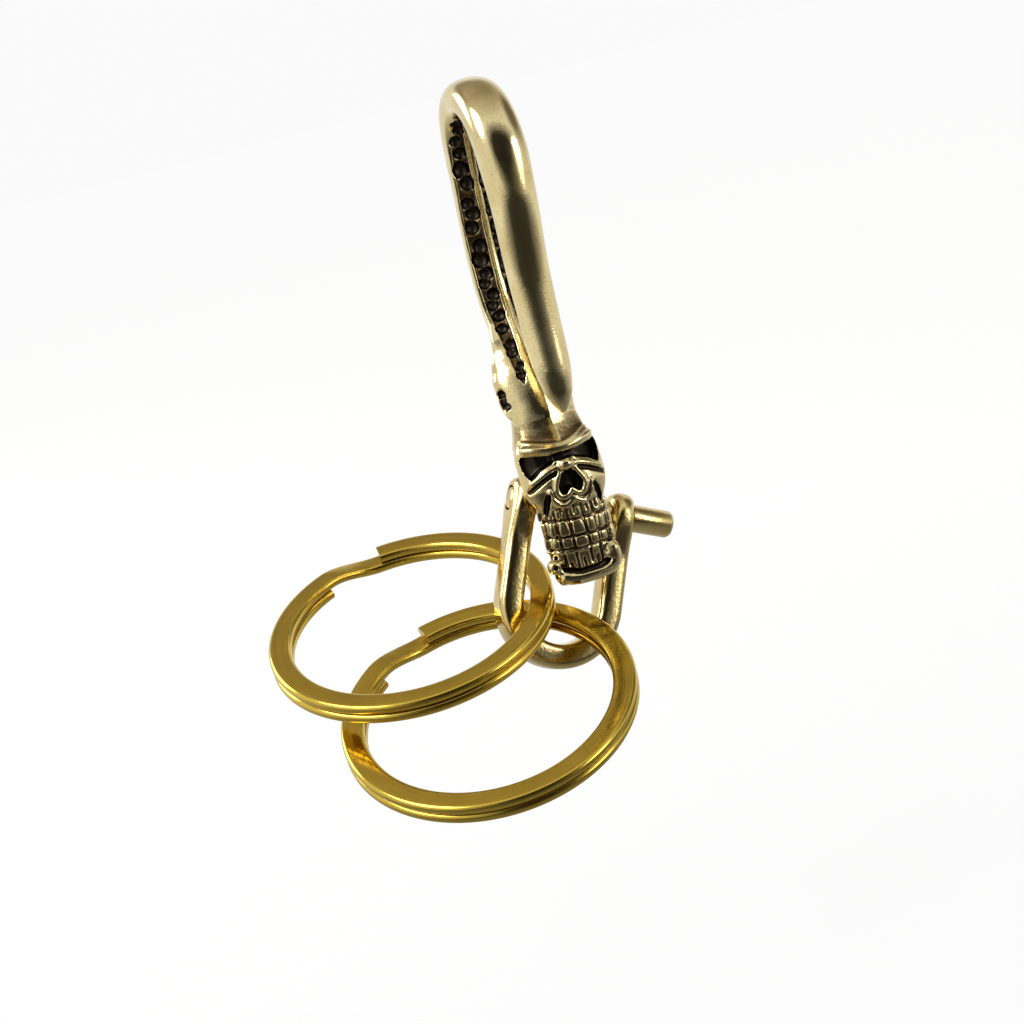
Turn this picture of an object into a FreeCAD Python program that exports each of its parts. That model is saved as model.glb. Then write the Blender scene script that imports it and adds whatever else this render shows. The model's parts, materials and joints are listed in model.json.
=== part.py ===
import FreeCAD, Part
import math
import os
from FreeCAD import Placement, Rotation, Vector

# Belt key clip: a cast brass belt hook with a skull head, a screw pin shackle and two split rings.
# Millimetres. The belt hangs on the origin, the inside of the hook's bend. +Z runs up the hook,
# the point of the hook and the face look to -Y, and +X is on the right of somebody facing them.

# Hook bar: a cast bar bent over the belt, with a rounded outer face
seat_radius = 4.5
bar_depth = 3.6
bar_width = 4.8
bar_crown = 2.2
bar_keel = 0.24
bend_stations = 5

# Front leg, from the bend down: share of its length, lean towards the belt, width, depth, crown
front_leg_length = 23.8
front_leg_rows = [
    (1.0, 0.1, 0.9, 0.7, 0.3),
    (0.975, 0.3, 1.8, 1.4, 0.7),
    (0.91, 0.6, 2.8, 2.1, 1.2),
    (0.8, 0.9, 3.6, 2.7, 1.6),
    (0.55, 1.0, 3.9, 3.0, 1.8),
    (0.25, 0.5, 4.3, 3.3, 2.0),
]
front_leg_keel = 0.12

# Rear leg: swells behind the belt, then sweeps forward to the neck, with a keel along its belt side
rear_leg_length = 25.6
rear_leg_width = 5.2
rear_leg_depth = 3.4
rear_leg_crown = 2.5
rear_leg_swell = 0.9
swell_end_drop = 18.0
rear_leg_sweep = 4.6
sweep_start_drop = 12.8
keel_height = 0.6
knuckle_width = 7.6
knuckle_drop = 21.6
knuckle_half_length = 3.7
neck_width = 6.2
neck_depth = 3.9
neck_tail = 1.5
leg_stations = 12

# Skull. Both tables give level outlines: drop below the brow, full width, then where the sides,
# the front and the back of the outline lie in Y
brow_drop = 3.0
cranium_rows = [
    (-3.8, 5.0, 1.9, 0.3, 3.2),
    (-2.9, 5.9, 1.7, -0.5, 3.7),
    (-1.6, 7.3, 1.5, -1.4, 4.4),
    (-0.6, 7.9, 1.3, -1.6, 4.8),
    (0.4, 7.7, 1.3, -1.2, 4.7),
    (0.9, 6.8, 1.4, -0.6, 4.0),
]
jaw_width = 6.6
face_rows = [
    (-1.7, 6.0, 0.9, -0.4, 1.6),
    (-0.8, 7.8, 0.6, -2.1, 1.6),
    (0.0, 8.5, 0.5, -2.5, 1.5),
    (0.9, 8.6, 0.2, -2.3, 0.9),
    (2.2, 8.7, -0.1, -2.4, 0.2),
    (3.3, 8.7, -0.3, -2.5, -0.1),
    (4.3, 7.4, -0.5, -2.5, -0.3),
    (5.3, jaw_width, -0.6, -2.3, -0.4),
    (8.0, jaw_width, -0.9, -2.3, -0.4),
    (10.6, jaw_width, -1.1, -2.4, -0.4),
    (12.0, 7.4, -1.3, -2.8, -0.45),
    (13.0, 7.0, -1.3, -2.7, -0.5),
    (13.6, 5.6, -1.3, -2.3, -0.6),
]
face_front = -2.4
socket_offset = 2.2
socket_width = 3.4
socket_height = 1.9
socket_depth = 1.5
socket_slant = 22.0
socket_drop = 1.2
nose_width = 2.5
nose_height = 2.7
nose_drop = 3.3
nose_depth = 1.1
nose_point_share = 0.6
nose_side_share = 0.2
nose_lobe_share = 0.4
nose_lobe_offset_share = 0.28
nose_notch_share = 0.22
cheek_hollow_radius = 1.1
cheek_hollow_offset = 3.4
cheek_hollow_front = -2.0
cheek_hollow_drop = 4.7
tooth_groove = 0.28
tooth_depth = 0.45
tooth_width = 1.0
teeth_top_drop = 6.2
tooth_row_heights = [1.8, 0.9, 0.9]
tooth_columns = 6
teeth_back = -1.5

# Shackle: a rounded bar bent to a U, with two ears on the pin
shackle_inside = 7.8
shackle_bar = 2.5
shackle_depth = 3.3
shackle_leg = 9.6
shackle_edge = 0.7
flat_limit = 0.01
ear_radius = 2.3
pin_radius = 1.2
pin_clearance = 0.05
pin_head_radius = 1.36
pin_head_length = 4.4
pin_head_edge = 0.4
pin_seat_gap = 0.05

# Eye behind the jaw: a round bar ring that the pin lies cocked in
eye_bar_radius = 1.0
eye_hole_radius = 2.1
eye_gap = 0.25
eye_stem_root = 1.6
pin_side = 0.8
pin_behind = 2.6
pin_drop = 6.4
pin_cock = 26.0
shackle_swing = 12.0

# Split rings: flat wire wound twice, with a step from the lower turn to the upper one
ring_inside = 24.1
wire_width = 2.3
wire_height = 0.85
wire_edge = 0.3
turn_gap = 0.43
step_half_angle = 16.0
end_gap_angle = 1.5
turn_arc_count = 3
coil_point_step = 0.4

# Lie of each ring: where it hangs on the shackle, which way it points, how it tilts
left_seat_run = 10.92
left_slack = 1.14
left_heading = 152.4
left_tilt_front = 18.6
left_tilt_side = 6.2
left_step_angle = 112.0
right_seat_angle = 51.6
right_slack = 1.51
right_heading = 227.7
right_tilt_front = 22.8
right_tilt_side = 8.4
right_step_angle = 122.0

# Places that follow from the sizes above
bend_radius = seat_radius + bar_depth / 2
bend_centre_z = -seat_radius
neck_z = bend_centre_z - rear_leg_length
brow_z = neck_z - brow_drop
pin_centre = Vector(pin_side, pin_behind, brow_z - pin_drop)
leg_offset = (shackle_inside + shackle_bar) / 2


def bar_section(centre, outward, width, depth, keel, crown):
    """Closed wire of the bar: a keeled inner face, two sides and an arched outer face."""
    side = Vector(1, 0, 0)
    half = width / 2
    inner = centre - outward * (depth / 2)
    shoulder = centre + outward * (depth / 2 - crown)
    left_in = inner - side * half
    right_in = inner + side * half
    left_out = shoulder - side * half
    right_out = shoulder + side * half
    ridge = inner - outward * keel
    top = centre + outward * (depth / 2)
    edges = [
        Part.LineSegment(left_in, ridge).toShape(),
        Part.LineSegment(ridge, right_in).toShape(),
        Part.LineSegment(right_in, right_out).toShape(),
        Part.Arc(right_out, top, left_out).toShape(),
        Part.LineSegment(left_out, left_in).toShape(),
    ]
    return Part.Wire(edges)


def front_leg_sections():
    """Sections from the point of the hook up to the bend; the leg leans in and tapers to the point."""
    sections = []
    for share, lean, width, depth, crown in front_leg_rows:
        centre = Vector(0, lean - bend_radius, bend_centre_z - front_leg_length * share)
        sections.append(bar_section(centre, Vector(0, -1, 0), width, depth, front_leg_keel, crown))
    return sections


def bend_sections():
    """Sections round the bend, from the front leg over the belt to the rear leg."""
    sections = []
    for index in range(bend_stations):
        turn = math.pi * (1 - index / (bend_stations - 1))
        outward = Vector(0, math.cos(turn), math.sin(turn))
        centre = Vector(0, 0, bend_centre_z) + outward * bend_radius
        sections.append(bar_section(centre, outward, bar_width, bar_depth, bar_keel, bar_crown))
    return sections


def smooth_rise(value):
    """Smooth step from 0 to 1."""
    v = min(max(value, 0.0), 1.0)
    return v * v * (3 - 2 * v)


def rear_leg_centre(drop):
    """Centre of the rear leg at a drop below the bend's centre."""
    swell = rear_leg_swell * math.sin(math.pi * min(drop / swell_end_drop, 1.0))
    sweep = rear_leg_sweep * smooth_rise((drop - sweep_start_drop) / (rear_leg_length - sweep_start_drop))
    return Vector(0, bend_radius + swell - sweep, bend_centre_z - drop)


def rear_leg_sections():
    """Sections square to the rear leg: swell, knuckle and the sweep forward into the head."""
    sections = []
    spacing = (rear_leg_length + neck_tail) / leg_stations
    for index in range(1, leg_stations + 1):
        drop = spacing * index
        run = rear_leg_centre(drop + spacing / 4) - rear_leg_centre(drop - spacing / 4)
        outward = Vector(0, -run.z, run.y).normalize()
        knuckle = smooth_rise(1 - abs(drop - knuckle_drop) / knuckle_half_length)
        neck = smooth_rise((drop - knuckle_drop) / knuckle_half_length)
        plain = rear_leg_width + (neck_width - rear_leg_width) * neck
        width = plain + (knuckle_width - rear_leg_width) * knuckle
        depth = rear_leg_depth + (neck_depth - rear_leg_depth) * neck
        sections.append(bar_section(rear_leg_centre(drop), outward, width, depth, keel_height, rear_leg_crown))
    return sections


def make_bar():
    """The bent bar as one loft from the point to the neck."""
    sections = front_leg_sections() + bend_sections() + rear_leg_sections()
    return Part.makeLoft(sections, True, False)


def skull_section(z, width, side_y, front_y, back_y):
    """Level outline of the head: a face arc in front and a cranium arc behind."""
    left = Vector(-width / 2, side_y, z)
    right = Vector(width / 2, side_y, z)
    face = Part.Arc(left, Vector(0, front_y, z), right).toShape()
    back = Part.Arc(right, Vector(0, back_y, z), left).toShape()
    return Part.Wire([face, back])


def skull_form(rows, inset):
    """Loft of level outlines, with its front and sides drawn in by inset and its back moved out."""
    sections = []
    for drop, width, side_y, front_y, back_y in rows:
        sections.append(skull_section(brow_z - drop, width - 2 * inset, side_y, front_y + inset, back_y + inset))
    return Part.makeLoft(sections, True, False)


def eye_sockets():
    """Two slanted sockets under the brow."""
    sockets = []
    for side in (-1, 1):
        ball = Part.makeSphere(1.0)
        stretch = FreeCAD.Matrix()
        stretch.scale(socket_width / 2, socket_depth, socket_height / 2)
        ball = ball.transformGeometry(stretch)
        turn = Rotation(Vector(0, 1, 0), -side * socket_slant)
        place = Vector(side * socket_offset, face_front, brow_z - socket_drop)
        ball.Placement = Placement(place, turn)
        sockets.append(ball)
    return sockets


def nose_cavity():
    """Heart shaped opening of the nose, point up."""
    top = Vector(0, 0, nose_height * nose_point_share)
    left = Vector(-nose_width / 2, 0, -nose_height * nose_side_share)
    right = Vector(nose_width / 2, 0, -nose_height * nose_side_share)
    lobe = nose_height * nose_lobe_share
    middle = Vector(0, 0, -nose_height * nose_notch_share)
    lobe_offset = nose_width * nose_lobe_offset_share
    edges = [
        Part.LineSegment(top, left).toShape(),
        Part.Arc(left, Vector(-lobe_offset, 0, -lobe), middle).toShape(),
        Part.Arc(middle, Vector(lobe_offset, 0, -lobe), right).toShape(),
        Part.LineSegment(right, top).toShape(),
    ]
    heart = Part.Face(Part.Wire(edges))
    prism = heart.extrude(Vector(0, nose_depth * 2, 0))
    prism.translate(Vector(0, face_front - nose_depth, brow_z - nose_drop))
    return prism


def cheek_hollows():
    """Round scoops between the cheekbones and the jaw."""
    scoops = []
    for side in (-1, 1):
        centre = Vector(side * cheek_hollow_offset, cheek_hollow_front, brow_z - cheek_hollow_drop)
        scoops.append(Part.makeSphere(cheek_hollow_radius, centre))
    return scoops


def tooth_grooves():
    """Grooves between the teeth and between the rows, as deep as the tooth depth."""
    height = sum(tooth_row_heights)
    top = brow_z - teeth_top_drop
    front = 2 * face_front
    slabs = []
    for row in range(len(tooth_row_heights) + 1):
        line = top - sum(tooth_row_heights[:row])
        corner = Vector(-jaw_width, front, line - tooth_groove / 2)
        slabs.append(Part.makeBox(2 * jaw_width, teeth_back - front, tooth_groove, corner))
    for column in range(1, tooth_columns):
        x = (column - tooth_columns / 2) * tooth_width - tooth_groove / 2
        slabs.append(Part.makeBox(tooth_groove, teeth_back - front, height, Vector(x, front, top - height)))
    grooves = slabs[0].multiFuse(slabs[1:])
    return grooves.cut(skull_form(face_rows, tooth_depth))


def eye_centre():
    """Middle of the eye: the cocked pin lies eye_gap above the eye's lower bar."""
    cock = math.radians(pin_cock)
    pin_height = pin_centre.z + pin_side * math.tan(cock)
    lower_bar = pin_height - (eye_bar_radius + pin_radius + eye_gap) / math.cos(cock)
    return Vector(0, pin_behind, lower_bar + eye_hole_radius + eye_bar_radius)


def make_skull():
    """Cranium and face mask with the features cut in, and the pin's eye hung behind the jaw."""
    head = skull_form(face_rows, 0.0)
    for cutter in eye_sockets() + [nose_cavity()] + cheek_hollows():
        head = head.cut(cutter)
    head = head.cut(tooth_grooves())
    centre = eye_centre()
    ring_radius = eye_hole_radius + eye_bar_radius
    eye = Part.makeTorus(ring_radius, eye_bar_radius, centre, Vector(1, 0, 0))
    stem_base = centre + Vector(0, 0, ring_radius)
    stem = Part.makeCylinder(eye_bar_radius, brow_z + eye_stem_root - stem_base.z, stem_base)
    cranium = skull_form(cranium_rows, 0.0)
    for cutter in eye_sockets():
        cranium = cranium.cut(cutter)
    return cranium.fuse([head, eye, stem])


def make_skull_hook():
    """The whole casting."""
    return make_bar().fuse(make_skull())


def shackle_place():
    """Place of the shackle: X along the pin, -Z down the legs, cocked in the eye and swung forward."""
    cock = Rotation(Vector(0, 1, 0), pin_cock)
    swing = Rotation(Vector(1, 0, 0), -shackle_swing)
    return Placement(pin_centre, cock.multiply(swing))


def make_shackle():
    """U bar with rounded edges and two bored ears, drawn about the pin and then placed."""
    outer = shackle_inside / 2 + shackle_bar
    inner = shackle_inside / 2
    y = -shackle_depth / 2
    low = -shackle_leg
    outline = Part.Wire([
        Part.LineSegment(Vector(-outer, y, 0), Vector(-outer, y, low)).toShape(),
        Part.Arc(Vector(-outer, y, low), Vector(0, y, low - outer), Vector(outer, y, low)).toShape(),
        Part.LineSegment(Vector(outer, y, low), Vector(outer, y, 0)).toShape(),
        Part.LineSegment(Vector(outer, y, 0), Vector(inner, y, 0)).toShape(),
        Part.LineSegment(Vector(inner, y, 0), Vector(inner, y, low)).toShape(),
        Part.Arc(Vector(inner, y, low), Vector(0, y, low - inner), Vector(-inner, y, low)).toShape(),
        Part.LineSegment(Vector(-inner, y, low), Vector(-inner, y, 0)).toShape(),
        Part.LineSegment(Vector(-inner, y, 0), Vector(-outer, y, 0)).toShape(),
    ])
    bar = Part.Face(outline).extrude(Vector(0, shackle_depth, 0))
    long_edges = []
    for edge in bar.Edges:
        box = edge.BoundBox
        if box.YLength < flat_limit and box.ZLength > shackle_bar:
            long_edges.append(edge)
    bar = bar.makeFillet(shackle_edge, long_edges)
    ears = []
    for start in (-outer, inner):
        ear = Part.makeCylinder(ear_radius, shackle_bar, Vector(start, 0, 0), Vector(1, 0, 0))
        rims = []
        for edge in ear.Edges:
            if edge.BoundBox.XLength < flat_limit:
                rims.append(edge)
        ears.append(ear.makeFillet(shackle_edge, rims))
    body = bar.fuse(ears)
    bore = Part.makeCylinder(pin_radius + pin_clearance, 4 * outer, Vector(-2 * outer, 0, 0), Vector(1, 0, 0))
    body = body.cut(bore)
    body.Placement = shackle_place()
    return body


def make_pin():
    """Screw pin: shank through both ears and a plain rounded head against the right ear."""
    outer = shackle_inside / 2 + shackle_bar
    shank = Part.makeCylinder(pin_radius, 2 * outer + pin_seat_gap, Vector(-outer, 0, 0), Vector(1, 0, 0))
    head_start = outer + pin_seat_gap
    head = Part.makeCylinder(pin_head_radius, pin_head_length, Vector(head_start, 0, 0), Vector(1, 0, 0))
    end_rim = []
    for edge in head.Edges:
        box = edge.BoundBox
        if box.XLength < flat_limit and box.XMin > head_start + pin_head_length / 2:
            end_rim.append(edge)
    head = head.makeFillet(pin_head_edge, end_rim)
    pin = shank.fuse(head)
    pin.Placement = shackle_place()
    return pin


def ring_point(radius, angle, height):
    """Point on a ring, by its angle in degrees from the ring's own X axis."""
    turn = math.radians(angle)
    return Vector(radius * math.cos(turn), radius * math.sin(turn), height)


def ring_tangent(angle):
    """Direction along a ring's wire, the way its angle grows."""
    turn = math.radians(angle)
    return Vector(-math.sin(turn), math.cos(turn), 0)


def turn_arcs(radius, start, end, height):
    """Level stretch of a turn as a row of arcs."""
    step = (end - start) / turn_arc_count
    arcs = []
    for index in range(turn_arc_count):
        a = start + step * index
        first = ring_point(radius, a, height)
        middle = ring_point(radius, a + step / 2, height)
        last = ring_point(radius, a + step, height)
        arcs.append(Part.Arc(first, middle, last).toShape())
    return arcs


def tangent_arc(start, tangent, end):
    """Arc from start, leaving along tangent, to end."""
    chord = end - start
    along = tangent.normalize()
    across = chord - along * chord.dot(along)
    across.normalize()
    radius = chord.Length ** 2 / (2 * chord.dot(across))
    centre = start + across * radius
    middle = start + chord * 0.5 - centre
    middle.normalize()
    return Part.Arc(start, centre + middle * radius, end).toShape()


def coil_gap(spine):
    """Least gap between the two turns, measured between points on the wire's facing sides."""
    points = spine.discretize(Distance=coil_point_step)
    half_turn = len(points) // 4
    face = Vector(0, 0, wire_height / 2)
    least = ring_inside
    for index, lower in enumerate(points):
        for upper in points[index + half_turn:]:
            least = min(least, (upper - face).distanceToPoint(lower + face))
    return least


def make_split_ring():
    """Two turns of flat wire with a step between them, as one unbroken sweep about the origin."""
    radius = (ring_inside + wire_width) / 2
    layer = (wire_height + turn_gap) / 2
    step_start = 360 - step_half_angle
    step_end = 360 + step_half_angle
    first = step_half_angle + end_gap_angle
    last = 720 - step_half_angle - end_gap_angle
    half_way = ring_point(math.hypot(radius, layer), 360, 0)
    low = ring_point(radius, step_start, -layer)
    high = ring_point(radius, step_end, layer)
    rise = tangent_arc(low, ring_tangent(step_start), half_way)
    settle = tangent_arc(high, ring_tangent(step_end) * -1, half_way)
    path = turn_arcs(radius, first, step_start, -layer)
    path += [rise, settle]
    path += turn_arcs(radius, step_end, last, layer)
    spine = Part.Wire(Part.__sortEdges__(path))
    sweep = Part.BRepOffsetAPI.MakePipeShell(spine)
    sweep.add(wire_section(radius, first, -layer))
    sweep.build()
    sweep.makeSolid()
    print("least gap of the coil to itself", round(coil_gap(spine), 3), "mm")
    return sweep.shape()


def wire_section(radius, angle, height):
    """Rounded rectangle of the flat wire at the start of the lower turn."""
    a = wire_width / 2
    b = wire_height / 2
    r = wire_edge
    k = r * (1 - math.sqrt(0.5))
    corners = [(1, 1), (-1, 1), (-1, -1), (1, -1)]
    edges = []
    previous = None
    first_start = None
    for sx, sy in corners:
        flat_end = Vector(sx * a, 0, sy * (b - r))
        top_end = Vector(sx * (a - r), 0, sy * b)
        middle = Vector(sx * (a - k), 0, sy * (b - k))
        if sx * sy > 0:
            start, end = flat_end, top_end
        else:
            start, end = top_end, flat_end
        if previous is None:
            first_start = start
        else:
            edges.append(Part.LineSegment(previous, start).toShape())
        edges.append(Part.Arc(start, middle, end).toShape())
        previous = end
    edges.append(Part.LineSegment(previous, first_start).toShape())
    section = Part.Wire(edges)
    section.Placement = Placement(ring_point(radius, angle, height), Rotation(Vector(0, 0, 1), angle))
    return section


def place_ring(seat, slack, heading, tilt_front, tilt_side, step_angle):
    """Place of a ring that hangs with its inside slack away from the bar at seat."""
    tilt = Rotation(Vector(0, 1, 0), -tilt_side).multiply(Rotation(Vector(1, 0, 0), tilt_front))
    normal = tilt.multVec(Vector(0, 0, 1))
    out = ring_point(1, heading, 0)
    out = out - normal * out.dot(normal)
    out.normalize()
    reach = ring_inside / 2 - shackle_bar / 2 - slack
    spin = Rotation(Vector(0, 0, 1), step_angle)
    return Placement(seat + out * reach, tilt.multiply(spin))


def left_seat():
    """Point of the left leg's centre line that the left ring goes round."""
    return shackle_place().multVec(Vector(-leg_offset, 0, -left_seat_run))


def right_seat():
    """Point of the bow's centre line that the right ring goes round."""
    turn = math.radians(right_seat_angle)
    x = -leg_offset * math.cos(turn)
    z = -shackle_leg - leg_offset * math.sin(turn)
    return shackle_place().multVec(Vector(x, 0, z))


def main():
    os.makedirs("parts", exist_ok=True)
    left_ring = make_split_ring()
    left_ring.Placement = place_ring(
        left_seat(), left_slack, left_heading, left_tilt_front, left_tilt_side, left_step_angle)
    right_ring = make_split_ring()
    right_ring.Placement = place_ring(
        right_seat(), right_slack, right_heading, right_tilt_front, right_tilt_side, right_step_angle)
    nodes = {
        "skull_hook": make_skull_hook(),
        "shackle_bow": make_shackle(),
        "shackle_pin": make_pin(),
        "split_ring_left": left_ring,
        "split_ring_right": right_ring,
    }
    for name, shape in nodes.items():
        shape.exportStep("parts/" + name + ".step")
        print(name, len(shape.Solids), "solid", shape.isValid(), round(shape.Volume, 2), shape.BoundBox)


main()
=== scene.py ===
import json
import math
import random

import bmesh
import bpy
import numpy as np
from mathutils import Matrix, Vector
from mathutils.bvhtree import BVHTree


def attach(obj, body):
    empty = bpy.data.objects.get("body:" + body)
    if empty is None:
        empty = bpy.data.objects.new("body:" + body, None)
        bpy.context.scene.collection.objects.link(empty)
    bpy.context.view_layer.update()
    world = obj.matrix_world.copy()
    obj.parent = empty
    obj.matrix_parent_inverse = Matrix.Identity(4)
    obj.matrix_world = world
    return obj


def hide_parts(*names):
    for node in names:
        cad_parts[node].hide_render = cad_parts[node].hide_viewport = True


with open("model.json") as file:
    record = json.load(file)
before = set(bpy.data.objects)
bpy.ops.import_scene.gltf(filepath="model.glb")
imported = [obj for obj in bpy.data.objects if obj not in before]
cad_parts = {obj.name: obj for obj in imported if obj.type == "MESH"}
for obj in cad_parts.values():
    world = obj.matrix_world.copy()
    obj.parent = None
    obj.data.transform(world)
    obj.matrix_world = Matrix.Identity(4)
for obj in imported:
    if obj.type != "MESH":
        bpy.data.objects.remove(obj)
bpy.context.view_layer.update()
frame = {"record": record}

# Bar of the skull hook: one brass casting, tumbled bright on its high places and black in its hollows.
# It is bent over the belt. The front leg tapers to a rounded point, and the rear leg is D shaped with
# a keel down its belt side. The casting is drawn in millimetres and brought to metres once it is whole.
MM = Matrix.Scale(0.001, 4)
SEAT_RADIUS = 4.5
BEND_RADIUS = 6.3
FRONT_LEG_DROP = 24.2
POINT_LENGTH = 5.4
REAR_LEG_WIDTHS = [  # drop, half width: the leg spreads to a knuckle above the neck
    (0.0, 2.15), (9.0, 2.35), (16.3, 2.35), (18.4, 2.75), (20.0, 3.4),
    (21.3, 3.75), (23.0, 3.72), (24.2, 3.5), (25.0, 3.2), (26.8, 2.8)]
FAIRING_PASSES = 24
POINT_STATIONS = 20
NECK_STATIONS = 26


def rise(value):
    """Smooth step from 0 to 1."""
    v = min(max(value, 0.0), 1.0)
    return v * v * (3 - 2 * v)


def front_leg(drop):
    """Centre, outward direction, half width, half depth, keel, flatness of the belt side, roundness."""
    thin = (min(drop, 19.0) / 19.0) ** 0.75
    point = max(drop - FRONT_LEG_DROP + POINT_LENGTH, 0.0) / POINT_LENGTH
    round_off = max(1 - point * point, 0.0) ** 0.68
    lean = 1.15 * rise((drop - 1.0) / 11.0) - 0.3 * rise(drop / 4) * rise((12 - drop) / 8)
    lean -= 0.6 * rise((drop - 16.0) / 8.2)
    centre = Vector((0, lean - BEND_RADIUS, -SEAT_RADIUS - drop))
    half_width = (2.4 - 0.53 * thin) * round_off
    half_depth = (1.8 - 0.4 * thin) * round_off
    flat = 0.4 * rise(1 - drop / 20)
    round_power = 0.95 - 0.3 * rise(1 - drop / 3)
    return centre, Vector((0, -1, 0)), half_width, half_depth, 0.0, flat, round_power


def bend(angle):
    """The same over the belt, by the angle from level at the rear."""
    turn = math.radians(angle)
    outward = Vector((0, math.cos(turn), math.sin(turn)))
    centre = Vector((0, 0, -SEAT_RADIUS)) + outward * BEND_RADIUS
    rear = rise(1 - angle / 150)
    flat = 0.2 + 0.8 * rise(1 - angle / 70) + 0.2 * rise((angle - 110) / 70)
    return centre, outward, 2.4 - 0.25 * rear, 1.8, 0.3 * rear, flat, 0.65


def rear_centre(drop):
    """Middle of the rear leg, which swells behind the belt and sweeps forward to the neck."""
    swell = 0.9 * math.sin(math.pi * min(drop / 18.0, 1.0))
    sweep = 4.6 * rise((drop - 12.8) / 12.8)
    return Vector((0, BEND_RADIUS + swell - sweep, -SEAT_RADIUS - drop))


def rear_leg(drop):
    """The same down the rear leg."""
    run = rear_centre(drop + 0.5) - rear_centre(drop - 0.5)
    outward = Vector((0, -run.z, run.y)).normalized()
    half_width = 0.0
    for low, high in zip(REAR_LEG_WIDTHS, REAR_LEG_WIDTHS[1:]):
        if low[0] <= drop <= high[0]:
            half_width = low[1] + (high[1] - low[1]) * rise((drop - low[0]) / (high[0] - low[0]))
    knuckle = rise((drop - 17.0) / 4.0) * rise((26.0 - drop) / 2.5)
    neck = rise((drop - 21.4) / 3.6)
    half_depth = 1.75 + 0.2 * neck - 0.3 * rise((drop - 25.0) / 1.8)
    flat = 1.0 - 0.35 * neck - 0.9 * knuckle
    keel = 0.3 + 0.3 * rise(drop / 5)
    round_power = 0.95 - 0.25 * rise(1 - drop / 6)
    return rear_centre(drop), outward, half_width, half_depth, keel, flat, round_power


def loft(bm, loops):
    """Skin over loops of vertices, closed at both ends."""
    rims = [list({edge for vert in loop for edge in vert.link_edges}) for loop in loops]
    for upper, lower in zip(rims, rims[1:]):
        bmesh.ops.bridge_loops(bm, edges=upper + lower)
    for rim in (rims[0], rims[-1]):
        bmesh.ops.contextual_create(bm, geom=rim)


form = bmesh.new()
stations = [front_leg(FRONT_LEG_DROP - 0.004 * (1.4 ** i)) for i in range(14)]
stations += [front_leg(23.8 - 0.35 * i) for i in range(68)]
stations += [bend(180 - 3 * i) for i in range(61)]
stations += [rear_leg(0.4 * i) for i in range(1, 67)]
bar = np.array([[*centre, *outward, *sizes] for centre, outward, *sizes in stations])
for fairing in range(FAIRING_PASSES):
    above = bar[POINT_STATIONS - 1:-NECK_STATIONS - 1]
    below = bar[POINT_STATIONS + 1:-NECK_STATIONS + 1]
    faired = bar[POINT_STATIONS:-NECK_STATIONS]
    bar[POINT_STATIONS:-NECK_STATIONS] = (above + 2 * faired + below) / 4
bar_loops = []
for row in bar:
    centre = Vector(row[:3])
    outward = Vector(row[3:6])
    half_width, half_depth, keel, flat, round_power = row[6:]
    loop = bmesh.ops.create_circle(form, radius=1.0, segments=128)["verts"]
    shoulder = -half_depth * flat
    for vert in loop:
        across, up = vert.co.x, vert.co.y
        x = half_width * math.copysign(abs(across) ** 0.9, across)
        if up >= 0:
            d = shoulder + (half_depth - shoulder) * up ** round_power
        else:
            d = shoulder - (half_depth + shoulder) * abs(up) ** 0.95 - keel * (1 - abs(x) / half_width)
        vert.co = centre + outward * d + Vector((x, 0, 0))
    bar_loops.append(loop)
loft(form, bar_loops)

# Head of the same casting: a flat mask of a face under a shallow cranium, open behind the jaw.
# The brow, the rims round the nose and eyes, the teeth and the rolled chin stand proud of the mask.
BROW_Z = -33.1
CRANIUM = [  # drop below the brow, half width, then where the sides, front and back lie in Y
    (-6.4, 2.4, 2.2, 0.15, 3.0),
    (-5.2, 2.8, 2.0, -0.25, 3.3),
    (-4.0, 3.05, 1.8, -0.68, 3.6),
    (-2.8, 3.3, 1.5, -1.05, 4.0),
    (-1.9, 3.5, 1.3, -1.45, 4.3),
    (-1.1, 3.75, 1.1, -1.85, 4.6),
    (-0.4, 3.85, 1.0, -2.05, 4.6),
    (0.6, 3.6, 1.2, -1.2, 4.3),
    (1.0, 3.0, 1.4, -0.6, 3.8),
]
FACE = [
    (-1.5, 3.5, 0.6, -1.5, 1.6),
    (-0.9, 3.95, 0.5, -2.05, 1.5),
    (0.0, 4.2, 0.5, -2.2, 1.5),
    (0.9, 4.25, 0.2, -2.2, 0.9),
    (2.2, 4.3, -0.1, -2.3, 0.2),
    (3.3, 4.25, -0.3, -2.35, -0.1),
    (4.2, 4.0, -0.4, -2.35, -0.2),
    (4.8, 3.7, -0.5, -2.35, -0.3),
    (5.4, 3.35, -0.6, -2.3, -0.4),
    (8.0, 3.3, -0.75, -2.35, -0.4),
    (10.6, 3.4, -0.85, -2.35, -0.4),
    (12.0, 3.4, -1.05, -2.4, -0.45),
    (12.7, 3.0, -1.2, -2.3, -0.5),
]


def level(rows, drop):
    """Half width, sides, front and back of a level outline."""
    for low, high in zip(rows, rows[1:]):
        if drop <= high[0]:
            share = max((drop - low[0]) / (high[0] - low[0]), 0.0)
            return [a + (b - a) * share for a, b in zip(low[1:], high[1:])]
    return rows[-1][1:]


for rows in (CRANIUM, FACE):
    head_loops = []
    for index in range(61):
        drop = rows[0][0] + (rows[-1][0] - rows[0][0]) * index / 60
        half_width, side_y, front_y, back_y = level(rows, drop)
        loop = bmesh.ops.create_circle(form, radius=1.0, segments=64)["verts"]
        for vert in loop:
            across, up = vert.co.x, vert.co.y
            reach = front_y - side_y if up < 0 else back_y - side_y
            bow_out = abs(up) ** 0.9
            if rows is CRANIUM and up < 0:
                bow_out = 0.75 * abs(up) ** 0.5 + 0.25 * (1 - abs(across))
            vert.co = Vector((half_width * across, side_y + reach * bow_out, BROW_Z - drop))
        head_loops.append(loop)
    loft(form, head_loops)


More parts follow.
